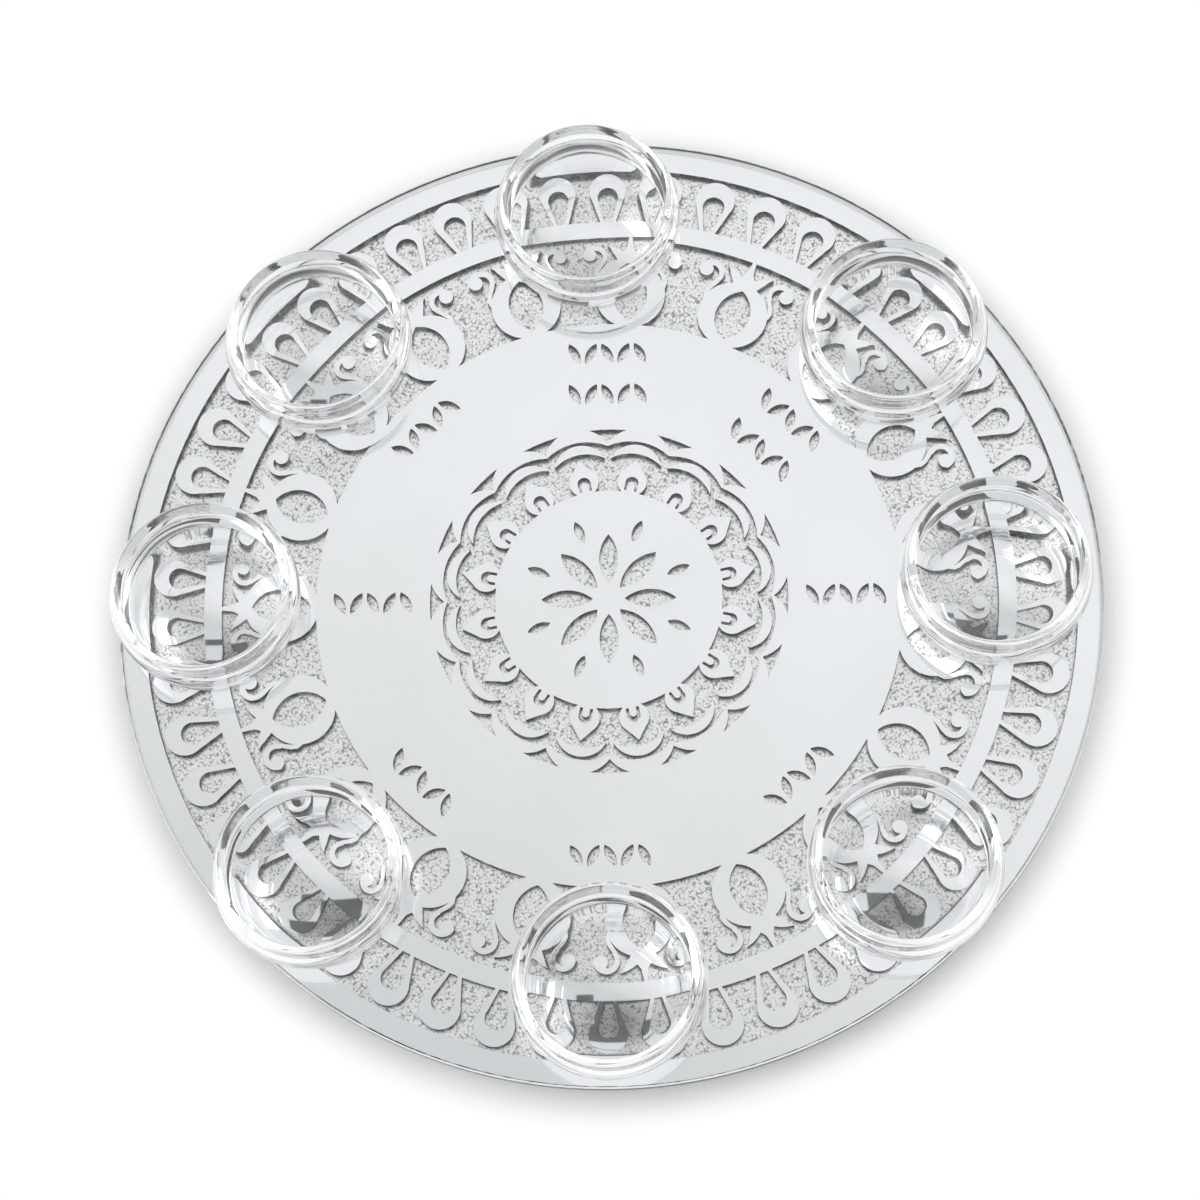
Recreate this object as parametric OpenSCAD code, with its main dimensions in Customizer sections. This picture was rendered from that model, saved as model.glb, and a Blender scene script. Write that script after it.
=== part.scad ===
// Round glass plate for serving the new-year foods in eight small bowls.
// A clear glass disc lies over a mirror-bright cut sheet on a stippled backing disc, all bonded together.
// The cut lines run right round, so the cut sheet is four kinds of piece: outer ring, pierced sheet,
// loose crescents and centre rosette. The bowls stand free on the glass, and soft feet carry the plate.
// Z is up, the table is at Z = 0, and the back of the plate is towards +Y.

/* [Plate] */
// Diameter of the glass disc
plate_d = 400; // [350:1:460]
// Thickness of the glass disc
glass_t = 5; // [3:0.5:10]
// Width of the ground bevel round both edges of the glass
glass_bevel = 0.6; // [0.2:0.1:1.2]
// Thickness of the cut sheet under the glass
sheet_t = 3; // [0.8:0.1:4]
// Thickness of the stippled backing disc under the sheet
backing_t = 1.5; // [0.8:0.1:4]
// Distance from the edge of the glass in to the edges of the sheet and backing
edge_margin = 1.5; // [0.5:0.1:5]
// Thickness of the clear film between the glass and the sheet
film_t = 0.1; // [0.05:0.05:0.3]

/* [Rings of the cut sheet] */
// Width of the plain outer ring
outer_ring_w = 8.7; // [5:0.1:14]
// Width of the plain middle ring, where the bowls stand
mid_ring_w = 7.6; // [5:0.1:12]

/* [Drop loops] */
// Spacing of the loops along the middle of their band
drop_pitch = 22.3; // [19:0.1:30]
// Length of a loop from the middle ring to the top of its head
drop_l = 22.8; // [19:0.1:28]
// Width of a loop across its round head
drop_w = 16.5; // [13:0.1:18]
// Gap between the head of a loop and the outer ring
drop_gap = 1.3; // [0.8:0.1:3]
// Thickness of a loop at the top of its head
drop_cap = 6.7; // [5:0.1:7.5]
// Width of the hole in a loop
drop_hole_w = 9.2; // [6:0.1:10.5]
// Width of a loop where it meets the middle ring
drop_foot_w = 6.8; // [5.6:0.1:9]
// Width of the hole where it meets the middle ring
drop_hole_foot_w = 3.4; // [2:0.1:4]
// Turn of the row of loops about the middle of the plate
drop_turn = 3.2; // [0:0.1:7]

/* [Fruits and scrolls] */
// Spacing of the fruits along the middle of their band
fruit_pitch = 45.9; // [42:0.1:60]
// Diameter of a fruit
fruit_d = 29.2; // [25:0.1:31]
// Depth that a fruit sinks into the plain field
fruit_sink = 1.1; // [0.8:0.1:3]
// Length of the spike that ties a fruit to the middle ring
spike_l = 10.3; // [8:0.1:14]
// Width of the rim left at the tips of the pointed opening in a fruit
seed_margin = 3.15; // [2:0.05:6]
// Width of the pointed opening in a fruit
seed_w = 14.2; // [8:0.1:16]
// Width of the spike where it meets the middle ring
spike_w = 1.3; // [1:0.1:2]
// Turn of the row of fruits about the middle of the plate
fruit_turn = 10; // [0:0.5:18]

/* [Rosette] */
// Number of petals, and of crescents and scallops round them
petal_count = 16; // [14:1:18]
// Radius of the plain disc in the middle
disc_r = 46.3; // [42:0.1:52]
// Length of a petal from the plain disc to its tip
petal_l = 14.4; // [11:0.1:18]
// Width of a petal
petal_w = 12.1; // [9:0.1:14]
// Length of the arched slot round the eye of a petal
eye_l = 6.2; // [4.5:0.1:7]
// Width of the arched slot
eye_w = 5.4; // [4:0.1:6]
// Width of the cut that draws the arch
eye_cut = 1.2; // [0.8:0.1:1.5]
// Gap between the tip of a petal and its crescent
petal_gap = 2.5; // [1.5:0.1:4]
// Thickness of a crescent at its middle
crescent_t = 4; // [2.5:0.1:5]
// Gap between a crescent and its scallop
scallop_gap = 1.3; // [0.8:0.1:2]
// Width of sheet between the scallops and the tips of the corner triangles
corner_web = 1.4; // [1:0.1:3]
// Height of a corner triangle
corner_h = 5.8; // [4:0.1:8]
// How far the rounds between the corner triangles reach past their outer edge
corner_rise = 1.2; // [0.8:0.1:2]

/* [Leaf cut-outs] */
// Length of a small leaf
leaf_l = 10; // [6:0.1:12]
// Width of a small leaf
leaf_w = 3.8; // [2:0.1:5]
// Number of leaves in a row
row_leaves = 5; // [3:1:5]
// Distance between the leaves of a row
leaf_pitch = 6.8; // [5.5:0.1:8]
// Slant of the leaves, to one side and the other in turn
leaf_slant = 28; // [0:1:40]
// Distance from the edge of the plain field to the middle of a row
row_inset = 13; // [9:0.5:18]
// Distance from a first row to a second row nearer the middle
row_step = 18; // [14:0.5:22]
// Length of a large leaf of the flower in the middle
flower_leaf_l = 21; // [12:0.5:24]
// Width of a large leaf of the flower
flower_leaf_w = 7.6; // [4:0.1:9]
// Radius to the inner tips of the large leaves
flower_core_r = 6.5; // [6:0.1:9]
// Number of large leaves, and of small leaves round them
flower_leaves = 8; // [5:1:8]

/* [Bowls] */
// Greatest outside diameter of a bowl
bowl_d = 77; // [64:1:92]
// Height of a bowl to the top of its rim
bowl_h = 28.6; // [26:0.1:48]
// Height of the widest ring of a bowl, as a share of the bowl's height
bowl_belly = 0.6; // [0.5:0.01:0.65]
// How far the wall spreads from the foot to the widest ring
bowl_flare = 4.2; // [3:0.1:8]
// Radius of the rounded corner round the foot
bowl_corner = 3; // [1.5:0.1:5]
// Lean of the wall from the widest ring in to the rim, as a share of the height between them
bowl_lean = 0.28; // [0.15:0.01:0.32]
// Thickness of the wall
bowl_wall = 2.8; // [2:0.1:3.2]
// Thickness of the floor in its middle
bowl_floor = 2; // [1.6:0.1:4]
// Radius of the hollow floor
bowl_floor_round = 60; // [52:0.5:90]
// Thickness of the rounded rim
bowl_rim_t = 3.8; // [3.6:0.1:5]
// Clearance under a standing bowl
bowl_seat = 0.1; // [0.05:0.05:0.3]

/* [Feet] */
// Height of a foot
foot_h = 3.5; // [2:0.1:8]
// Diameter of a foot where it sticks to the backing
foot_d = 16; // [10:0.5:24]
// Diameter of the flat that a foot stands on
foot_tip_d = 11; // [6:0.5:20]
// Height of the rounded shoulder of a foot, drawn as a bevel
foot_shoulder = 1.2; // [0.5:0.1:1.8]
// Distance from the edge of the glass in to the middle of a foot
foot_inset = 45; // [20:1:80]

/* [Hidden] */
$fn = 96;

// Bowls, clockwise from the back. Each was set down by hand, so it stands a little off its even place.
bowl_names = ["bowl_back", "bowl_back_right", "bowl_right", "bowl_front_right",
              "bowl_front", "bowl_front_left", "bowl_left", "bowl_back_left"];
bowl_count = len(bowl_names);
bowl_step = 360 / bowl_count;
bowl_turn = [2.5, -3, 1, 0, 0, -0.5, 0.5, 2.7];
bowl_shift = [-1, -3, -6, 2, -1.5, 2.5, 0, -2.3];
foot_names = ["foot_back_right", "foot_front_right", "foot_front_left", "foot_back_left"];

// Levels, from the table up
backing_z = foot_h;
sheet_z = backing_z + backing_t;
glass_z = sheet_z + sheet_t + film_t;
bowl_z = glass_z + glass_t + bowl_seat;

// Radii of the rings, from the edge in
plate_r = plate_d / 2;
drop_band_w = drop_l + drop_gap;
fruit_band_w = fruit_d - fruit_sink + spike_l;
sheet_r = plate_r - edge_margin;
outer_ring_in = sheet_r - outer_ring_w;
mid_ring_out = outer_ring_in - drop_band_w;
mid_ring_in = mid_ring_out - mid_ring_w;
field_r = mid_ring_in - fruit_band_w;

// Pieces that are drawn as one overlap by this much before they are joined
weld = 1;
// Straight sides enter a round head just inside its edge, at this share of its radius
shy = 0.985;

// Drop loops
drop_count = round(PI * (outer_ring_in + mid_ring_out) / drop_pitch);
drop_head_r = outer_ring_in - drop_gap - drop_w / 2;
drop_hole_r = outer_ring_in - drop_gap - drop_cap - drop_hole_w / 2;

// Fruits, their crowns and their scrolls. The crown and scroll are drawn in fruit radii,
// as [outward, sideways] from the middle of a fruit.
fruit_count = round(PI * (mid_ring_in + field_r) / fruit_pitch);
fruit_r = fruit_d / 2;
seed_l = fruit_d - 2 * seed_margin;
fruit_c = field_r + fruit_r - fruit_sink;
spike_reach = (mid_ring_in + weld - fruit_c) / fruit_r;
spike_half = spike_w / fruit_d;
crown_side = [[0.82, 0.33], [0.95, 0.37], [1.06, 0.44], [1.18, 0.53], [1.31, 0.6], [1.41, 0.7],
              [1.36, 0.5], [1.29, 0.34], [1.2, 0.2], [1.35, 0.1], [spike_reach, spike_half]];
crown = concat(crown_side, [for (i = [len(crown_side) - 1 : -1 : 0]) [crown_side[i].x, -crown_side[i].y]]);
scroll_c = [1.02, 1.06];
scroll_r = 0.377;
scroll_hole_r = 0.226;
scroll_ball_r = 0.2;
scroll_ball_shift = [0.035, 0.165];
scroll_mouth = [[-0.04, 0.55], [-0.04, 0.03], [-0.14, -0.18], [-0.55, -0.25], [-0.55, 0.55]];
stem = [[0.95, 0.68], [0.77, 0.75], [0.595, 0.845], [0.45, 0.9], [0.32, 0.82], [0.15, 0.85], [0.24, 0.99],
        [0.4, 1.04], [0.575, 1.0], [0.76, 0.893], [0.94, 0.795]];

// Rosette, from the plain disc out. A crescent is as round as the room beside its neighbours lets it be,
// and its hollow side and its scallop are rounder by a fixed ratio.
half_petal = 180 / petal_count;
petal_sink = 1.35;
petal_c = disc_r + petal_w / 2 - petal_sink;
petal_tip_r = disc_r + petal_l;
eye_root_r = disc_r + 0.6;
eye_c = eye_root_r + eye_l - eye_w / 2;
eye_ball_c = eye_c - eye_cut;
crescent_r = petal_tip_r + petal_gap + crescent_t;
crescent_round = crescent_r * sin(half_petal) / (1 + sin(half_petal));
crescent_hollow = 1.57 * crescent_round;
scallop_top = crescent_r + scallop_gap;
scallop_round = 2.08 * crescent_round;
scallop_c = scallop_top - scallop_round;
scallop_cusp = scallop_c * cos(half_petal) + sqrt(pow(scallop_round, 2) - pow(scallop_c * sin(half_petal), 2));
corner_tip = scallop_cusp + corner_web;
rosette_r = corner_tip + corner_h;
// Round that passes through the tips of two neighbouring triangles and ends past their outer edge
corner_reach = rosette_r + corner_rise;
corner_in = corner_tip * cos(half_petal);
corner_round = (pow(corner_reach, 2) - 2 * corner_reach * corner_in + pow(corner_tip, 2))
               / (2 * (corner_reach - corner_in));

// Rows of leaves: how many stand at each bowl's place, and which run outwards instead of across
row_counts = [2, 2, 1, 1, 1, 1, 1, 1];
row_outward = [0, 0, 1, 0, 0, 0, 1, 0];
// The rows are drawn for a plain field of this width, and grow and shrink with it
drawn_field_w = 46.7;
row_fit = (field_r - rosette_r) / drawn_field_w;
flower_round_c = flower_core_r + flower_leaf_l + leaf_l / 3;

// Bowl outline: a rounded corner, one arc up to the widest ring and another from there to the rim
bowl_r = bowl_d / 2;
bowl_belly_z = bowl_belly * bowl_h;
bowl_rim_z = bowl_h - bowl_rim_t / 2;
bowl_rise = bowl_rim_z - bowl_belly_z;
bowl_low = (pow(bowl_flare, 2) + pow(bowl_belly_z, 2)) / (2 * bowl_flare);
bowl_low_x = bowl_r - bowl_low;
bowl_high = bowl_rise * (pow(bowl_lean, 2) + 1) / (2 * bowl_lean);
bowl_high_x = bowl_r - bowl_high;
bowl_core = max(bowl_low_x, bowl_high_x, bowl_r / 2);
// The corner touches the table and the lower arc
bowl_corner_angle = asin((bowl_corner - bowl_belly_z) / (bowl_low - bowl_corner));
bowl_corner_x = bowl_low_x + (bowl_low - bowl_corner) * cos(bowl_corner_angle);
bowl_corner_top = bowl_belly_z + bowl_low * sin(bowl_corner_angle);
// The rim sits on the middle of the wall
bowl_rim_out = bowl_r - bowl_lean * bowl_rise;
bowl_rim_in = bowl_high_x + sqrt(pow(bowl_high - bowl_wall, 2) - pow(bowl_rise, 2));
bowl_rim_x = (bowl_rim_out + bowl_rim_in) / 2;
bowl_ring_r = (mid_ring_out + mid_ring_in) / 2;
foot_ring_r = plate_r - foot_inset;

// Point where a line from p, outside a circle about the origin, touches the circle on its upper side
function touch(p, r) = let (a = atan2(p.y, p.x) - acos(r / norm(p))) r * [cos(a), sin(a)];

// Copies round the middle of the plate
module ring_of(count, turn) {
    for (i = [0 : count - 1]) rotate(turn + i * 360 / count) children();
}

module annulus(outer, inner) {
    difference() {
        circle(r = outer);
        circle(r = inner);
    }
}

// Pointed leaf along X, from two crossing circles
module leaf(length, width) {
    round_r = (pow(length, 2) + pow(width, 2)) / (4 * width);
    intersection() {
        translate([0, round_r - width / 2]) circle(r = round_r);
        translate([0, width / 2 - round_r]) circle(r = round_r);
    }
}

// Drop shape that points towards the middle of the plate: a round head at radius c on a foot at the middle ring
module drop(c, width, foot_w) {
    foot = [mid_ring_out - c, foot_w / 2];
    side = shy * touch(foot, width / 2);
    slope = (side.y - foot.y) / (side.x - foot.x);
    low = [foot.x - weld, foot.y - weld * slope];
    translate([c, 0]) {
        circle(d = width);
        polygon([low, side, [side.x, -side.y], [low.x, -low.y]]);
    }
}

module drop_loop() {
    difference() {
        drop(drop_head_r, drop_w, drop_foot_w);
        drop(drop_hole_r, drop_hole_w, drop_hole_foot_w);
    }
}

// Open part of the band behind the drop loops
module drop_band() {
    difference() {
        annulus(outer_ring_in, mid_ring_out);
        ring_of(drop_count, drop_turn) drop_loop();
    }
}

// Spiral arm beside a fruit, on the upper side only
module scroll() {
    translate(scroll_c) difference() {
        circle(r = scroll_r);
        translate([-0.02, -0.007]) circle(r = scroll_hole_r);
        polygon(scroll_mouth);
    }
    translate(scroll_c + scroll_ball_shift) circle(r = scroll_ball_r);
    polygon(stem);
}

// Fruit with its three-pointed crown and two scrolls, without its opening
module fruit() {
    translate([fruit_c, 0]) scale(fruit_r) {
        circle(r = 1);
        polygon(crown);
        scroll();
        mirror([0, 1]) scroll();
    }
}

// Open part of the band behind the fruits, with the openings in the fruits
module fruit_band() {
    difference() {
        annulus(mid_ring_in, field_r);
        ring_of(fruit_count, fruit_turn) fruit();
    }
    ring_of(fruit_count, fruit_turn) translate([fruit_c, 0]) leaf(seed_l, seed_w);
}

module corner_triangles() {
    difference() {
        annulus(rosette_r, corner_tip - weld);
        ring_of(petal_count, half_petal) translate([corner_reach - corner_round, 0]) circle(r = corner_round);
    }
}

module scallop_hole() {
    circle(r = petal_tip_r);
    ring_of(petal_count, half_petal) translate([scallop_c, 0]) circle(r = scallop_round);
}

module crescent() {
    difference() {
        translate([crescent_r - crescent_round, 0]) circle(r = crescent_round);
        translate([crescent_r - crescent_t - crescent_hollow, 0]) circle(r = crescent_hollow);
    }
}

module petal() {
    tip = [petal_tip_r - petal_c, 0];
    side = shy * touch(tip, petal_w / 2);
    translate([petal_c, 0]) {
        circle(d = petal_w);
        polygon([tip, side, [side.x, -side.y]]);
    }
}

// Open part of the ring between the petals
module petal_band() {
    difference() {
        annulus(petal_tip_r + weld, disc_r);
        ring_of(petal_count, half_petal) petal();
    }
}

// Arched shape that stands on radius root, with its round end about radius c
module arch(root, c, width) {
    translate([c, 0]) circle(d = width);
    translate([root, -shy * width / 2]) square([c - root, shy * width]);
}

module eye_slot() {
    difference() {
        arch(eye_root_r, eye_c, eye_w);
        arch(eye_root_r - weld, eye_ball_c, eye_w - 2 * eye_cut);
    }
}

// One row of slanted leaves across the local X axis
module leaf_row() {
    for (k = [0 : row_leaves - 1])
        translate([0, (k - (row_leaves - 1) / 2) * leaf_pitch])
            rotate(k % 2 == 0 ? leaf_slant : -leaf_slant) leaf(leaf_l, leaf_w);
}

module leaf_rows() {
    for (i = [0 : bowl_count - 1]) rotate(90 - i * bowl_step) translate([field_r, 0]) scale(row_fit) {
        if (row_outward[i] == 1)
            translate([-drawn_field_w / 2, 0]) rotate(90) leaf_row();
        else
            for (k = [0 : row_counts[i] - 1])
                translate([-row_inset - k * row_step, 0]) leaf_row();
    }
}

module flower() {
    ring_of(flower_leaves, 90)
        translate([flower_core_r + flower_leaf_l / 2, 0]) leaf(flower_leaf_l, flower_leaf_w);
    ring_of(flower_leaves, 90 + 180 / flower_leaves) translate([flower_round_c, 0]) leaf(leaf_l, leaf_w);
}

// Sub-parts
module glass_plate() {
    color("azure", 0.35) translate([0, 0, glass_z]) rotate_extrude()
        polygon([[0, 0], [plate_r - glass_bevel, 0], [plate_r, glass_bevel], [plate_r, glass_t - glass_bevel],
                 [plate_r - glass_bevel, glass_t], [0, glass_t]]);
}

module outer_ring() {
    color("gainsboro") translate([0, 0, sheet_z]) linear_extrude(sheet_t) annulus(sheet_r, outer_ring_in);
}

module pierced_sheet() {
    color("gainsboro") translate([0, 0, sheet_z]) linear_extrude(sheet_t) difference() {
        circle(r = outer_ring_in - drop_gap / 2);
        drop_band();
        fruit_band();
        corner_triangles();
        scallop_hole();
        leaf_rows();
    }
}

module crescents() {
    color("gainsboro") translate([0, 0, sheet_z]) linear_extrude(sheet_t)
        ring_of(petal_count, half_petal) crescent();
}

module centre_rosette() {
    color("gainsboro") translate([0, 0, sheet_z]) linear_extrude(sheet_t) difference() {
        circle(r = petal_tip_r + weld / 2);
        petal_band();
        ring_of(petal_count, half_petal) eye_slot();
        flower();
    }
}

module backing_disc() {
    color("silver") translate([0, 0, backing_z]) cylinder(r = sheet_r, h = backing_t);
}

// Area outside an arc about the level of the widest ring, between two levels
module outside_arc(x, r, low, high) {
    difference() {
        translate([bowl_core, low]) square([bowl_d, high - low]);
        translate([x, bowl_belly_z]) circle(r = r);
    }
}

module bowl_profile() {
    difference() {
        square([bowl_r + weld, bowl_rim_z]);
        outside_arc(bowl_low_x, bowl_low, -weld, bowl_belly_z + weld);
        outside_arc(bowl_high_x, bowl_high, bowl_belly_z, bowl_h);
        difference() {
            translate([bowl_corner_x, -weld]) square([bowl_d, bowl_corner_top + weld]);
            translate([bowl_corner_x, bowl_corner]) circle(r = bowl_corner);
        }
        difference() {
            translate([0, bowl_floor + bowl_floor_round]) circle(r = bowl_floor_round);
            outside_arc(bowl_low_x, bowl_low - bowl_wall, -weld, bowl_belly_z + weld);
            outside_arc(bowl_high_x, bowl_high - bowl_wall, bowl_belly_z, bowl_h);
        }
    }
    translate([bowl_rim_x, bowl_rim_z]) circle(d = bowl_rim_t);
}

module bowl(i) {
    angle = 90 - i * bowl_step + bowl_turn[i];
    r = bowl_ring_r + bowl_shift[i];
    color("azure", 0.35) translate([r * cos(angle), r * sin(angle), bowl_z]) rotate_extrude() bowl_profile();
}

module foot(i) {
    angle = 45 - i * 360 / len(foot_names);
    color("whitesmoke", 0.6) translate([foot_ring_r * cos(angle), foot_ring_r * sin(angle), 0]) rotate_extrude()
        polygon([[0, 0], [foot_tip_d / 2, 0], [(foot_tip_d + foot_d) / 4, foot_shoulder], [foot_d / 2, foot_h],
                 [0, foot_h]]);
}

glass_plate();
outer_ring();
pierced_sheet();
crescents();
centre_rosette();
backing_disc();
for (i = [0 : bowl_count - 1]) bowl(i);
for (i = [0 : len(foot_names) - 1]) foot(i);
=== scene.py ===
import math

import bpy
import numpy as np
from mathutils import Matrix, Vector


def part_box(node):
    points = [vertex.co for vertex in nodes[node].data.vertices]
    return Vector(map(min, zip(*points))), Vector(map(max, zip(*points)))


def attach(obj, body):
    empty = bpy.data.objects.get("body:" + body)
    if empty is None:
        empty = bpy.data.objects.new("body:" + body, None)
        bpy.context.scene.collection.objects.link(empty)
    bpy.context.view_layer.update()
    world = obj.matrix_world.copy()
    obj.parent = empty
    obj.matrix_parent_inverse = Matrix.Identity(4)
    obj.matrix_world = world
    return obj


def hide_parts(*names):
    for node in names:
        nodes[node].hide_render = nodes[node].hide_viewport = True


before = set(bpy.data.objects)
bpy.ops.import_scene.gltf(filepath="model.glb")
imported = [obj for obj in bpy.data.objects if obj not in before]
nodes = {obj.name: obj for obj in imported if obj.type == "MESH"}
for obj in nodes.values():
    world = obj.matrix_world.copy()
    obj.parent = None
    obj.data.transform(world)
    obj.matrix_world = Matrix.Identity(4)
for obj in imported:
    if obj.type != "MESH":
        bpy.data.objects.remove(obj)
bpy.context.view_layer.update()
scene = bpy.context.scene
print("frame loaded with", len(nodes), "nodes")

mm = 0.001


# sRGB hex to linear colour
def linearColor(hexText):
    srgb = np.array([int(hexText[i:i + 2], 16) for i in (1, 3, 5)]) / 255
    linear = np.where(srgb <= 0.04045, srgb / 12.92, ((srgb + 0.055) / 1.055) ** 2.4)
    return (*linear.tolist(), 1.0)


# adds one node, with its settings, its socket values and the outputs that feed it
def addNode(tree, kind, values=None, feeds=None, **settings):
    node = tree.nodes.new(kind)
    for key, value in settings.items():
        setattr(node, key, value)
    for key, value in (values or {}).items():
        node.inputs[key].default_value = value
    for key, source in (feeds or {}).items():
        tree.links.new(source, node.inputs[key])
    return node


# empty material with its output and one Principled shader
def newMaterial(name, **values):
    material = bpy.data.materials.new(name)
    material.use_nodes = True
    tree = material.node_tree
    tree.nodes.clear()
    shader = addNode(tree, "ShaderNodeBsdfPrincipled", values)
    addNode(tree, "ShaderNodeOutputMaterial", feeds={"Surface": shader.outputs[0]})
    return material, tree, shader


# sets the stops of a colour ramp from (place, hex) pairs
def setStops(node, stops):
    ramp = node.color_ramp
    while len(ramp.elements) < len(stops):
        ramp.elements.new(0.5)
    for element, (place, hexText) in zip(ramp.elements, stops):
        element.position = place
        element.color = linearColor(hexText)


# mask of the level faces, from the normal of the piece itself
def flatMask(tree):
    place = addNode(tree, "ShaderNodeTexCoord")
    upright = addNode(tree, "ShaderNodeSeparateXYZ", feeds={"Vector": place.outputs["Normal"]})
    level = addNode(tree, "ShaderNodeMath", feeds={0: upright.outputs["Z"]}, operation="ABSOLUTE")
    least = 0.5  # a face tilted by more than 60 degrees counts as a wall
    mask = addNode(tree, "ShaderNodeMath", {1: least}, {0: level.outputs[0]}, operation="GREATER_THAN")
    return mask.outputs[0]


# camera at the photo's angle; the frame is square
view = {
    "elevation": 72.883,  # degrees above the table
    "azimuth": 8.48,  # degrees to the right of the front
    "roll": -9.236,
    "distance": 1.3344,
    "aim": (0, 0, 9.7 * mm),
    "sensor": 36,  # mm, across the frame
    "lens": 36 * 3279.2 / 1200,  # mm: focal length in pixels, on a frame of 1200
    "shift": (-0.0073, -0.0012),
}


def addCamera(v):
    e, a, r = np.radians([v["elevation"], v["azimuth"], v["roll"]])
    back = np.array([np.sin(a) * np.cos(e), -np.cos(a) * np.cos(e), np.sin(e)])
    right = np.array([np.cos(a), np.sin(a), 0])
    up = np.cross(back, right)
    right, up = np.cos(r) * right + np.sin(r) * up, -np.sin(r) * right + np.cos(r) * up
    data = bpy.data.cameras.new("camera")
    data.sensor_fit = "HORIZONTAL"
    data.sensor_width = v["sensor"]
    data.lens = v["lens"]
    data.shift_x, data.shift_y = v["shift"]
    data.clip_start, data.clip_end = 0.01, 50
    camera = bpy.data.objects.new("camera", data)
    turn = np.eye(4)
    turn[:3, 0], turn[:3, 1], turn[:3, 2] = right, up, back
    turn[:3, 3] = np.array(v["aim"]) + v["distance"] * back
    camera.matrix_world = Matrix(turn.tolist())
    scene.collection.objects.link(camera)
    scene.camera = camera


addCamera(view)
print("camera set")


# puts points and faces into a mesh object at the origin, smooth but for its sharp edges
def addMesh(name, points, faces, material, smoothAngle=40):
    mesh = bpy.data.meshes.new(name)
    mesh.from_pydata(points.tolist(), [], faces)
    mesh.validate()
    mesh.shade_smooth()
    mesh.set_sharp_from_angle(angle=math.radians(smoothAngle))
    mesh.materials.append(material)
    piece = bpy.data.objects.new(name, mesh)
    scene.collection.objects.link(piece)
    return piece


# surface of revolution: p(u, v) = centre + (r(u) cos v, r(u) sin v, z(u))
# its profile (r, z) starts and ends on the axis
def turnedSurface(profile, segments, centre):
    profile = np.asarray(profile, float)
    ring = profile[1:-1]
    count = len(ring)
    v = np.linspace(0, 2 * np.pi, segments, endpoint=False)
    radii, heights = ring[:, :1], np.repeat(ring[:, 1:], segments, 1)
    grid = np.stack([radii * np.cos(v), radii * np.sin(v), heights], -1)
    poles = np.array([[0, 0, profile[0, 1]], [0, 0, profile[-1, 1]]])
    points = np.concatenate([grid.reshape(-1, 3), poles]) + np.asarray(centre)
    i, j = np.meshgrid(np.arange(count - 1), np.arange(segments), indexing="ij")
    k = (j + 1) % segments
    quads = np.stack([i * segments + j, i * segments + k, (i + 1) * segments + k, (i + 1) * segments + j], -1)
    j = np.arange(segments)
    k = (j + 1) % segments
    low = np.stack([np.full(segments, count * segments), k, j], -1)
    top = (count - 1) * segments
    high = np.stack([np.full(segments, count * segments + 1), top + j, top + k], -1)
    return points, quads.reshape(-1, 4).tolist() + low.tolist() + high.tolist()


# arc about a centre, from one angle to another, in degrees
def arc(centre, radius, start, end, count):
    t = np.radians(np.linspace(start, end, count))
    return np.stack([centre[0] + radius * np.cos(t), centre[1] + radius * np.sin(t)], -1)


# soft corner: quadratic curve from a to b, pulled towards the corner c
def softCorner(a, c, b, count=7):
    t = np.linspace(0, 1, count)[:, None]
    a, b, c = np.asarray(a, float), np.asarray(b, float), np.asarray(c, float)
    return (1 - t) ** 2 * a + 2 * t * (1 - t) * c + t ** 2 * b


# middle of a node's box in plan, and its lowest level
def seatOf(node):
    low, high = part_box(node)
    return ((low.x + high.x) / 2, (low.y + high.y) / 2, low.z), high - low


# soda-lime float glass: clear on the flat; its ground edge faces painted dark grey-green, painted shade for
# the dark line along the rim, over the green that its tint really gives
floatGlass = {"color": "#ffffff", "edge": "#3f4c48", "roughness": 0.0, "ior": 1.52,
              "tint": "#6f9c90", "density": 4.0}  # tint of light that runs along it, and how fast


def makeFloatGlass(g):
    material, tree, shader = newMaterial("float_glass_polished", **{
        "Roughness": g["roughness"], "IOR": g["ior"], "Transmission Weight": 1.0})
    # edge faces: dark grey-green base colour, painted shade
    color = addNode(tree, "ShaderNodeMix", {6: linearColor(g["edge"]), 7: linearColor(g["color"])},
                    {"Factor": flatMask(tree)}, data_type="RGBA")
    tree.links.new(color.outputs[2], shader.inputs["Base Color"])
    volume = addNode(tree, "ShaderNodeVolumeAbsorption",
                     {"Color": linearColor(g["tint"]), "Density": g["density"]})
    output = next(n for n in tree.nodes if n.type == "OUTPUT_MATERIAL")
    tree.links.new(volume.outputs[0], output.inputs["Volume"])
    return material


# pressed soda-lime glass: clear, with the faint waves that the mould leaves
pressedGlass = {"color": "#ffffff", "roughness": 0.0, "ior": 1.5,
                "waveSize": 14 * mm, "waveDepth": 0.06 * mm, "waveShare": 0.6}


def makePressedGlass(g):
    material, tree, shader = newMaterial("pressed_glass_clear", **{
        "Base Color": linearColor(g["color"]), "Roughness": g["roughness"], "IOR": g["ior"],
        "Transmission Weight": 1.0})
    place = addNode(tree, "ShaderNodeTexCoord")
    wave = addNode(tree, "ShaderNodeTexNoise", {"Scale": 1 / g["waveSize"], "Detail": 1.0},
                   {"Vector": place.outputs["Object"]})
    bump = addNode(tree, "ShaderNodeBump", {"Strength": g["waveShare"], "Distance": g["waveDepth"]},
                   {"Height": wave.outputs["Fac"]})
    tree.links.new(bump.outputs[0], shader.inputs["Normal"])
    return material


# mirror-polished metal sheet, laser cut: a faint cloud on its face; on its cut walls a dark cut edge, painted
# near-black as painted shade along each cut and broken by pale patches of painted reflection
mirrorSheet = {"face": "#eff2f5", "cloud": "#ebeef0", "wall": "#0c0c0c", "wallGlint": "#b4b6b6",
               "cloudSize": 60 * mm, "wallPatch": 4 * mm, "rough": (0.03, 0.07), "wallRough": 0.6,
               "cloudRange": (0.3, 0.7), "wallRange": (0.5, 0.58)}  # noise values at which each changes over


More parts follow.
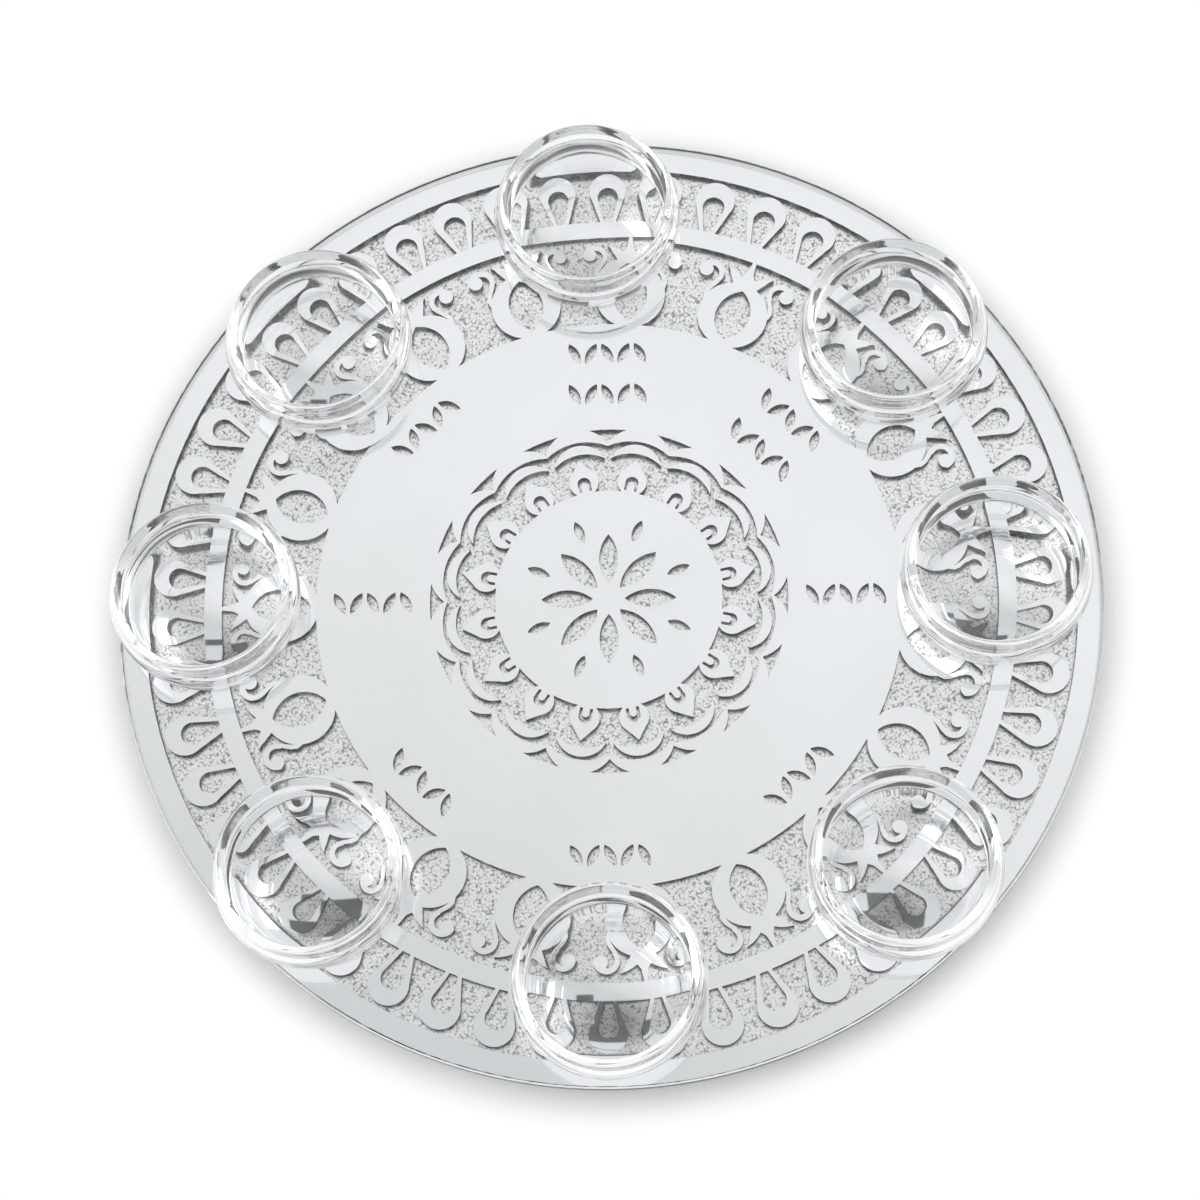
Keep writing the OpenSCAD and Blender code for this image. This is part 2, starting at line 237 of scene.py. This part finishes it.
def makeMirrorSheet(s):
    material, tree, shader = newMaterial("metal_sheet_mirror_polished", **{"Specular IOR Level": 0.0})
    place = addNode(tree, "ShaderNodeTexCoord")
    cloud = addNode(tree, "ShaderNodeTexNoise", {"Scale": 1 / s["cloudSize"], "Detail": 2.0},
                    {"Vector": place.outputs["Object"]})
    face = addNode(tree, "ShaderNodeValToRGB", feeds={"Fac": cloud.outputs["Fac"]})
    setStops(face, list(zip(s["cloudRange"], (s["cloud"], s["face"]))))
    patch = addNode(tree, "ShaderNodeTexNoise", {"Scale": 1 / s["wallPatch"], "Detail": 1.0},
                    {"Vector": place.outputs["Object"]})
    # cut walls: near-black painted shade along each cut, with pale patches of painted reflection that break
    # it
    wall = addNode(tree, "ShaderNodeValToRGB", feeds={"Fac": patch.outputs["Fac"]})
    setStops(wall, list(zip(s["wallRange"], (s["wall"], s["wallGlint"]))))
    isFace = flatMask(tree)
    color = addNode(tree, "ShaderNodeMix", feeds={"Factor": isFace, 6: wall.outputs["Color"],
                                                  7: face.outputs["Color"]}, data_type="RGBA")
    tree.links.new(color.outputs[2], shader.inputs["Base Color"])
    tree.links.new(isFace, shader.inputs["Metallic"])
    faceRough = addNode(tree, "ShaderNodeMapRange", {"To Min": s["rough"][0], "To Max": s["rough"][1]},
                        {"Value": cloud.outputs["Fac"]})
    rough = addNode(tree, "ShaderNodeMix", {2: s["wallRough"]},
                    {"Factor": isFace, 3: faceRough.outputs[0]}, data_type="FLOAT")
    tree.links.new(rough.outputs[0], shader.inputs["Roughness"])
    return material


# silver foil on board, rolled to a stipple: pale pebbles whose tone differs at random, with painted shade in
# a soft grey net between them, darkest in the deepest gaps
stippledFoil = {"pebble": 1 * mm, "height": 0.04 * mm, "rough": 0.3, "uneven": 0.25,
                "stops": [(0.42, "#ffffff"), (0.66, "#f3f4f4"), (0.86, "#cdcece"), (1.0, "#8f9090")]}


def makeStippledFoil(s):
    material, tree, shader = newMaterial("silver_foil_stippled", Metallic=1.0, Roughness=s["rough"])
    place = addNode(tree, "ShaderNodeTexCoord")
    pebble = addNode(tree, "ShaderNodeTexVoronoi", {"Scale": 1 / s["pebble"], "Randomness": 1.0},
                     {"Vector": place.outputs["Object"]}, feature="F1")
    parts = addNode(tree, "ShaderNodeSeparateColor", feeds={"Color": pebble.outputs["Color"]})
    # colour: random tone per pebble, plus painted shade that greys it towards the gaps between pebbles
    shade = addNode(tree, "ShaderNodeMath", {1: s["uneven"]},
                    {0: parts.outputs[0], 2: pebble.outputs["Distance"]}, operation="MULTIPLY_ADD")
    color = addNode(tree, "ShaderNodeValToRGB", feeds={"Fac": shade.outputs[0]})
    setStops(color, s["stops"])
    tree.links.new(color.outputs["Color"], shader.inputs["Base Color"])
    bump = addNode(tree, "ShaderNodeBump", {"Strength": 1.0, "Distance": s["height"]},
                   {"Height": pebble.outputs["Distance"]}, invert=True)
    tree.links.new(bump.outputs[0], shader.inputs["Normal"])
    return material


# clear silicone, moulded: milky and soft, with a dull skin
clearSilicone = {"color": "#eef2f1", "rough": 0.38, "ior": 1.41, "clear": 0.6,
                 "skin": 0.8 * mm, "skinDepth": 0.02 * mm, "skinShare": 0.3}


def makeClearSilicone(s):
    material, tree, shader = newMaterial("silicone_clear_moulded", **{
        "Base Color": linearColor(s["color"]), "Roughness": s["rough"], "IOR": s["ior"],
        "Transmission Weight": s["clear"]})
    place = addNode(tree, "ShaderNodeTexCoord")
    skin = addNode(tree, "ShaderNodeTexNoise", {"Scale": 1 / s["skin"]}, {"Vector": place.outputs["Object"]})
    bump = addNode(tree, "ShaderNodeBump", {"Strength": s["skinShare"], "Distance": s["skinDepth"]},
                   {"Height": skin.outputs["Fac"]})
    tree.links.new(bump.outputs[0], shader.inputs["Normal"])
    return material


glassMaterial = makeFloatGlass(floatGlass)
bowlMaterial = makePressedGlass(pressedGlass)
sheetMaterial = makeMirrorSheet(mirrorSheet)
foilMaterial = makeStippledFoil(stippledFoil)
footMaterial = makeClearSilicone(clearSilicone)
print("materials made")

# the cut sheet and its backing keep their CAD shapes
for name in ("outer_ring", "pierced_sheet", "crescents", "centre_rosette"):
    nodes[name].data.materials.clear()
    nodes[name].data.materials.append(sheetMaterial)
nodes["backing_disc"].data.materials.clear()
nodes["backing_disc"].data.materials.append(foilMaterial)

# glass disc: flat, with a ground and polished edge
disc = {"bevel": 0.6 * mm, "soft": 0.18 * mm, "hold": 0.5 * mm, "segments": 360, "smooth": 25}


# profile, from the middle of the underside out, round the edge and back to the middle of the top
def discProfile(radius, thick, d):
    b, s = d["bevel"], d["soft"]
    corners = [(radius - b, 0), (radius, b), (radius, thick - b), (radius - b, thick)]
    flat = radius - b - d["hold"]  # ring that keeps the flat faces flat to the eye
    path = [np.array([[0, 0], [flat, 0]])]
    around = [(0, 0)] + corners + [(0, thick)]
    for i in range(1, len(corners) + 1):
        c = np.array(around[i])
        before, after = np.array(around[i - 1]) - c, np.array(around[i + 1]) - c
        before, after = before / np.linalg.norm(before), after / np.linalg.norm(after)
        path.append(softCorner(c + s * before, c, c + s * after, 5))
    path.append(np.array([[flat, thick], [0, thick]]))
    return np.concatenate(path)


centre, size = seatOf("glass_plate")
points, faces = turnedSurface(discProfile(size.y / 2, size.z, disc), disc["segments"], centre)
discPiece = addMesh("glass_disc", points, faces, glassMaterial, disc["smooth"])
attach(discPiece, "plate")
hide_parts("glass_plate")
print("glass disc made")

# bowls: flat underside, rounded corner, one arc to the widest ring and one to the rim, a round bead,
# a hollow floor; belly is a share of the height, and lean a share of the climb from the belly to the rim
bowl = {"radius": 38.5 * mm, "belly": 0.6, "flare": 4.2 * mm, "corner": 3 * mm, "lean": 0.28,
        "wall": 2.8 * mm, "floor": 2 * mm, "floorRound": 60 * mm, "floorReach": 31.8 * mm, "rise": 3 * mm,
        "pull": 0.75, "rim": 3.8 * mm, "bead": (20, 240), "neck": 2 * mm, "hold": 0.3 * mm,
        "segments": 144, "smooth": 60}


# profile, from the middle of the underside out, up the wall, over the bead and down to the floor's middle
def bowlProfile(height, b):
    radius, wall = b["radius"], b["wall"]
    bellyZ, rimZ = b["belly"] * height, height - b["rim"] / 2
    climb = rimZ - bellyZ
    lean = b["lean"] * climb
    low = (b["flare"] ** 2 + bellyZ ** 2) / (2 * b["flare"])
    high = (lean ** 2 + climb ** 2) / (2 * lean)
    lowMid, highMid = (radius - low, bellyZ), (radius - high, bellyZ)

    def angleAt(r, z):
        return math.degrees(math.asin((z - bellyZ) / r))

    # corner of the foot: a small round that touches the table and the lower arc
    turn = angleAt(low - b["corner"], b["corner"])
    cornerMid = arc(lowMid, low - b["corner"], turn, turn, 1)[0]
    # hollow floor: arc about a point on the axis, which meets the wall in a soft corner
    tilt = math.asin(b["floorReach"] / b["floorRound"])
    floorArc = arc((0, b["floor"] + b["floorRound"]), b["floorRound"], -90 + math.degrees(tilt), -90, 24)
    wallStart = floorArc[0][1] + b["rise"]
    inWall = np.concatenate([
        arc(highMid, high - wall, angleAt(high - wall, rimZ - b["neck"]), 0, 10),
        arc(lowMid, low - wall, 0, angleAt(low - wall, wallStart), 10)[1:]])
    pullX = b["floorReach"] + b["pull"] * (inWall[-1][0] - b["floorReach"])
    pull = (pullX, floorArc[0][1] + math.tan(tilt) * (pullX - b["floorReach"]))
    rimX = (radius - lean + highMid[0] + math.sqrt((high - wall) ** 2 - climb ** 2)) / 2
    return np.concatenate([
        [[0, 0], [cornerMid[0] - b["hold"], 0]],
        arc(cornerMid, b["corner"], -90, turn, 10),
        arc(lowMid, low, turn, 0, 24)[1:],
        arc(highMid, high, 0, angleAt(high, rimZ - b["neck"]), 14)[1:],
        arc((rimX, rimZ), b["rim"] / 2, *b["bead"], 31),
        inWall,
        softCorner(inWall[-1], pull, floorArc[0], 20)[1:],
        floorArc[1:],
    ])


bowlNames = sorted(n for n in nodes if n.startswith("bowl_"))
for name in bowlNames:
    centre, size = seatOf(name)
    points, faces = turnedSurface(bowlProfile(size.z, bowl), bowl["segments"], centre)
    piece = addMesh(name + "_glass", points, faces, bowlMaterial, bowl["smooth"])
    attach(piece, name)
    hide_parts(name)
print("bowls made:", len(bowlNames))

# feet: soft moulded buttons, domed at the side; shoulder and collar: inset, and share of the height
foot = {"radius": 8 * mm, "tip": 5.5 * mm, "tipRound": 0.6 * mm, "domeInset": 0.4 * mm,
        "shoulder": (0.2 * mm, 0.72), "collar": (0.1 * mm, 0.8), "collarPull": 0.9,
        "segments": 48, "smooth": 50}


# profile, from the middle of the tip out, up the domed side and in over the flat top
def footProfile(height, f):
    radius = f["radius"]
    shoulder, collar = [(radius - inset, share * height) for inset, share in (f["shoulder"], f["collar"])]
    return np.concatenate([
        [[0, 0], [f["tip"] / 2, 0]],
        softCorner((f["tip"] - f["tipRound"], 0), (radius - f["domeInset"], 0), shoulder, 12),
        softCorner(collar, (radius, f["collarPull"] * height), (radius, height), 4),
        [[radius / 2, height], [0, height]],
    ])


for name in sorted(n for n in nodes if n.startswith("foot_")):
    centre, size = seatOf(name)
    points, faces = turnedSurface(footProfile(size.z, foot), foot["segments"], centre)
    piece = addMesh(name + "_button", points, faces, footMaterial, foot["smooth"])
    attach(piece, "plate")
    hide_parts(name)
print("feet made")

# stage: white floor, a bright studio that is dim behind the camera, two soft lamps
stage = {"half": 6.0, "floor": "#fafafa", "ambient": 0.85,
         "shadowOut": (0.2, 0.216),  # radii between which the shadow runs out into white
         "toBack": 0.9, "toRight": 0.35,  # how fast the room brightens that way
         "room": [(0.1, "#eceeef"), (0.35, "#e6e8e8"), (0.55, "#dddfdf"), (0.59, "#f2f2f0"),
                  (0.64, "#ffffff")]}


# mask of the rays that show the background: camera, glossy and transmission
def seenRays(tree):
    path = addNode(tree, "ShaderNodeLightPath")
    one = addNode(tree, "ShaderNodeMath", operation="MAXIMUM",
                  feeds={0: path.outputs["Is Camera Ray"], 1: path.outputs["Is Glossy Ray"]})
    two = addNode(tree, "ShaderNodeMath", operation="MAXIMUM",
                  feeds={0: one.outputs[0], 1: path.outputs["Is Transmission Ray"]})
    return path, two.outputs[0]


def addFloor(s):
    material = bpy.data.materials.new("floor_white_card")
    material.use_nodes = True
    tree = material.node_tree
    tree.nodes.clear()
    place = addNode(tree, "ShaderNodeTexCoord")
    away = addNode(tree, "ShaderNodeVectorMath", feeds={0: place.outputs["Object"]}, operation="LENGTH")
    far = addNode(tree, "ShaderNodeMapRange", {"From Min": s["shadowOut"][0], "From Max": s["shadowOut"][1]},
                  {"Value": away.outputs["Value"]}, interpolation_type="SMOOTHSTEP")
    seen = seenRays(tree)[1]
    share = addNode(tree, "ShaderNodeMath", feeds={0: far.outputs[0], 1: seen}, operation="MULTIPLY")
    card = addNode(tree, "ShaderNodeBsdfDiffuse", {"Color": linearColor(s["floor"])})
    glow = addNode(tree, "ShaderNodeEmission", {"Color": (1, 1, 1, 1), "Strength": 1.0})
    mix = addNode(tree, "ShaderNodeMixShader",
                  feeds={0: share.outputs[0], 1: card.outputs[0], 2: glow.outputs[0]})
    addNode(tree, "ShaderNodeOutputMaterial", feeds={"Surface": mix.outputs[0]})
    h = s["half"]
    corners = np.array([[-h, -h, 0], [h, -h, 0], [h, h, 0], [-h, h, 0]])
    floor = addMesh("floor", corners, [[0, 1, 2, 3]], material)


def addWorld(s):
    world = bpy.data.worlds.new("studio")
    scene.world = world
    world.use_nodes = True
    tree = world.node_tree
    tree.nodes.clear()
    place = addNode(tree, "ShaderNodeTexCoord")
    axes = addNode(tree, "ShaderNodeSeparateXYZ", feeds={"Vector": place.outputs["Generated"]})
    middle = 0.5  # of the ramp, straight overhead
    back = addNode(tree, "ShaderNodeMath", {1: s["toBack"] / 2, 2: middle}, {0: axes.outputs["Y"]},
                   operation="MULTIPLY_ADD")
    side = addNode(tree, "ShaderNodeMath", {1: s["toRight"] / 2}, {0: axes.outputs["X"], 2: back.outputs[0]},
                   operation="MULTIPLY_ADD")
    tone = addNode(tree, "ShaderNodeValToRGB", feeds={"Fac": side.outputs[0]})
    setStops(tone, s["room"])
    path, seen = seenRays(tree)
    shown = addNode(tree, "ShaderNodeBackground", {"Strength": 1.0}, {"Color": tone.outputs["Color"]})
    white = addNode(tree, "ShaderNodeBackground", {"Color": (1, 1, 1, 1), "Strength": 1.0})
    light = addNode(tree, "ShaderNodeBackground", {"Color": (1, 1, 1, 1), "Strength": s["ambient"]})
    lit = addNode(tree, "ShaderNodeMixShader", feeds={0: seen, 1: light.outputs[0], 2: shown.outputs[0]})
    both = addNode(tree, "ShaderNodeMixShader", feeds={0: path.outputs["Is Camera Ray"], 1: lit.outputs[0],
                                                       2: white.outputs[0]})
    addNode(tree, "ShaderNodeOutputWorld", feeds={"Surface": both.outputs[0]})


# dark card round the camera: only light mirrored once, in or through a bowl, meets it, and the bowls'
# floors show it; deep and shallow: it shows after more, or fewer, glass faces than these
card = {"outline": [(-0.45, 0.02), (-0.24, 0.02), (-0.24, -0.05), (0.27, -0.05), (0.27, -0.28),
                    (0.4, -0.28), (0.4, -0.56), (-0.62, -0.56), (-0.62, -0.3), (-0.24, -0.3),
                    (-0.24, -0.06), (-0.45, -0.06)],
        "height": 1.32, "color": "#0d0d0e", "deep": 5, "shallow": 3}


def addCard(c):
    material = bpy.data.materials.new("card_black_matt")
    material.use_nodes = True
    tree = material.node_tree
    tree.nodes.clear()
    path = addNode(tree, "ShaderNodeLightPath")
    passed = path.outputs["Transmission Depth"]
    deep = addNode(tree, "ShaderNodeMath", {1: c["deep"]}, {0: passed}, operation="GREATER_THAN")
    shallow = addNode(tree, "ShaderNodeMath", {1: c["shallow"]}, {0: passed}, operation="LESS_THAN")
    either = addNode(tree, "ShaderNodeMath", operation="ADD",
                     feeds={0: deep.outputs[0], 1: shallow.outputs[0]})
    once = addNode(tree, "ShaderNodeMath", {1: 1.0, 2: 0.1},  # within a tenth of one
                   {0: path.outputs["Glossy Depth"]}, operation="COMPARE")
    shows = addNode(tree, "ShaderNodeMath", operation="MULTIPLY",
                    feeds={0: either.outputs[0], 1: once.outputs[0]})
    clear = addNode(tree, "ShaderNodeBsdfTransparent")
    black = addNode(tree, "ShaderNodeBsdfDiffuse", {"Color": linearColor(c["color"])})
    mix = addNode(tree, "ShaderNodeMixShader",
                  feeds={0: shows.outputs[0], 1: clear.outputs[0], 2: black.outputs[0]})
    addNode(tree, "ShaderNodeOutputMaterial", feeds={"Surface": mix.outputs[0]})
    corners = np.array([(x, y, c["height"]) for x, y in c["outline"]])
    addMesh("card", corners, [list(range(len(corners)))], material)


lamps = [
    {"name": "soft_box_left", "place": (-1.35, -0.2, 0.95), "size": 1.0, "power": 3.4},
    {"name": "soft_box_right", "place": (0.9, 0.75, 0.95), "size": 0.9, "power": 2.4},
]


def addLamp(lamp):
    data = bpy.data.lights.new(lamp["name"], "AREA")
    data.shape = "SQUARE"
    data.size = lamp["size"]
    data.energy = lamp["power"]
    item = bpy.data.objects.new(lamp["name"], data)
    back = np.array(lamp["place"]) / np.linalg.norm(lamp["place"])
    right = np.cross((0, 0, 1), back)
    right /= np.linalg.norm(right)
    turn = np.eye(4)
    turn[:3, 0], turn[:3, 1], turn[:3, 2], turn[:3, 3] = right, np.cross(back, right), back, lamp["place"]
    item.matrix_world = Matrix(turn.tolist())
    scene.collection.objects.link(item)


addFloor(stage)
addWorld(stage)
addCard(card)
for lamp in lamps:
    addLamp(lamp)
scene.view_settings.view_transform = "Standard"
bounces = 32  # light runs far along the glass walls
scene.cycles.max_bounces = scene.cycles.transmission_bounces = scene.cycles.glossy_bounces = bounces
print("stage set")
